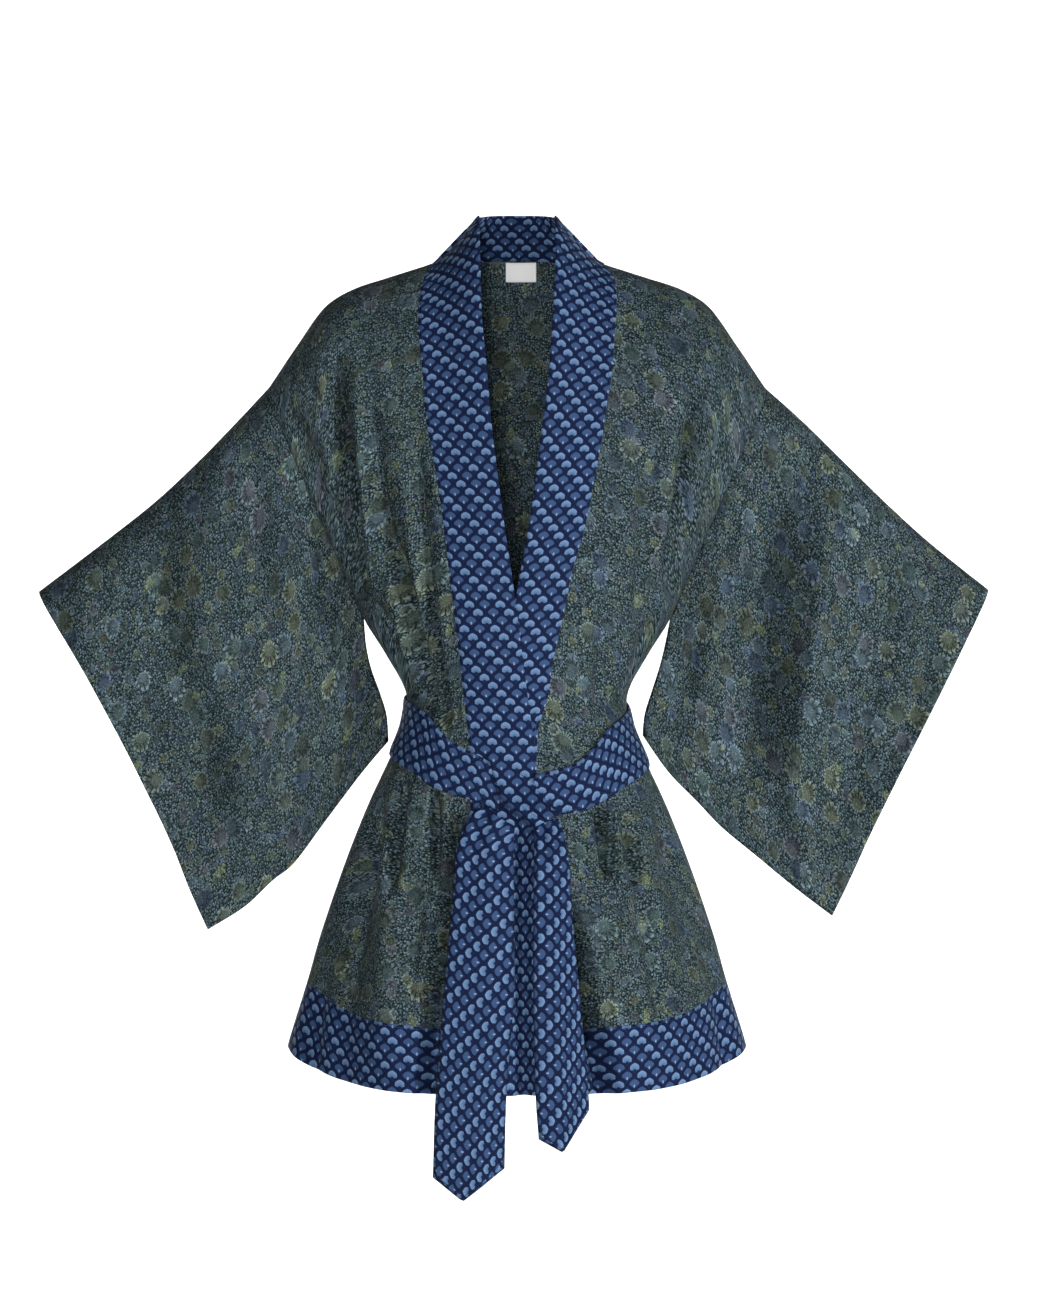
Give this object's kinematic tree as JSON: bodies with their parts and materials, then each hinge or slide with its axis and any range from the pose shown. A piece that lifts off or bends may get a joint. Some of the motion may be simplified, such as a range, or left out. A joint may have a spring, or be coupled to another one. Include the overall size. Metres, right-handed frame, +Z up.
{
  "type": "worn kimono jacket with tied belt",
  "caption": "Short kimono robe with wide hanging sleeves, a deep navy fan-print neckband and hem bands, small floral body cloth and a knotted cloth belt, filled out as worn",
  "frame": {"origin": "the middle of the shoulder line, level with the points where the neckband crosses the shoulders, where the wearer's shoulders hold the garment up", "axes": "+X towards the wearer's left, +Y towards the wearer's back, +Z up; the front faces -Y"},
  "size_m": [0.969, 0.304, 0.9792],
  "materials": {
    "printed_cloth": "soft matt weave, printed",
    "trim_cloth": "soft matt weave, printed",
    "label_tape": "smooth woven tape"
  },
  "bodies": {
    "root": {"back": "printed_cloth", "front_right": "printed_cloth", "front_left": "printed_cloth", "sleeve_right": "printed_cloth", "sleeve_left": "printed_cloth", "hem_band_back": "trim_cloth", "hem_band_right": "trim_cloth", "hem_band_left": "trim_cloth", "neckband": "trim_cloth", "belt": "trim_cloth", "belt_knot": "trim_cloth", "belt_end_long": "trim_cloth", "belt_end_short": "trim_cloth", "label": "label_tape"}
  },
  "joints": []
}
